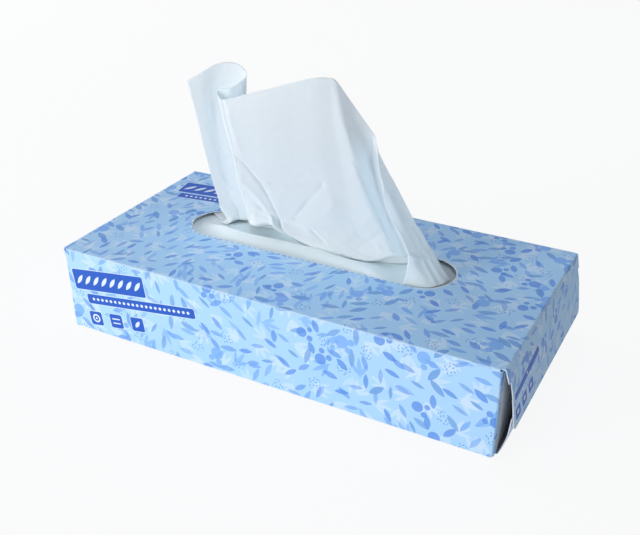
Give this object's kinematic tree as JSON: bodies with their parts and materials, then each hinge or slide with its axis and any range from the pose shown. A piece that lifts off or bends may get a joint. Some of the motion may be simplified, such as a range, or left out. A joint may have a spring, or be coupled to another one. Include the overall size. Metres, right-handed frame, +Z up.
{
  "type": "tissue box",
  "caption": "Flat rectangular paperboard tissue box with a rounded slot opening on top and one white tissue standing up out of it.",
  "frame": {"origin": "middle of the base panel's underside, centred between the four side panels", "axes": "+Z up, +X along the carton to the end that bows out, -Y towards the front side panel"},
  "size_m": [0.236, 0.115, 0.1315],
  "materials": {
    "carton_board": "printed, satin",
    "tissue_paper": "soft, matte"
  },
  "bodies": {
    "root": {"carton": "carton_board", "tissue_stack": "tissue_paper", "next_tissue": "tissue_paper", "pulled_tissue": "tissue_paper"}
  },
  "joints": []
}
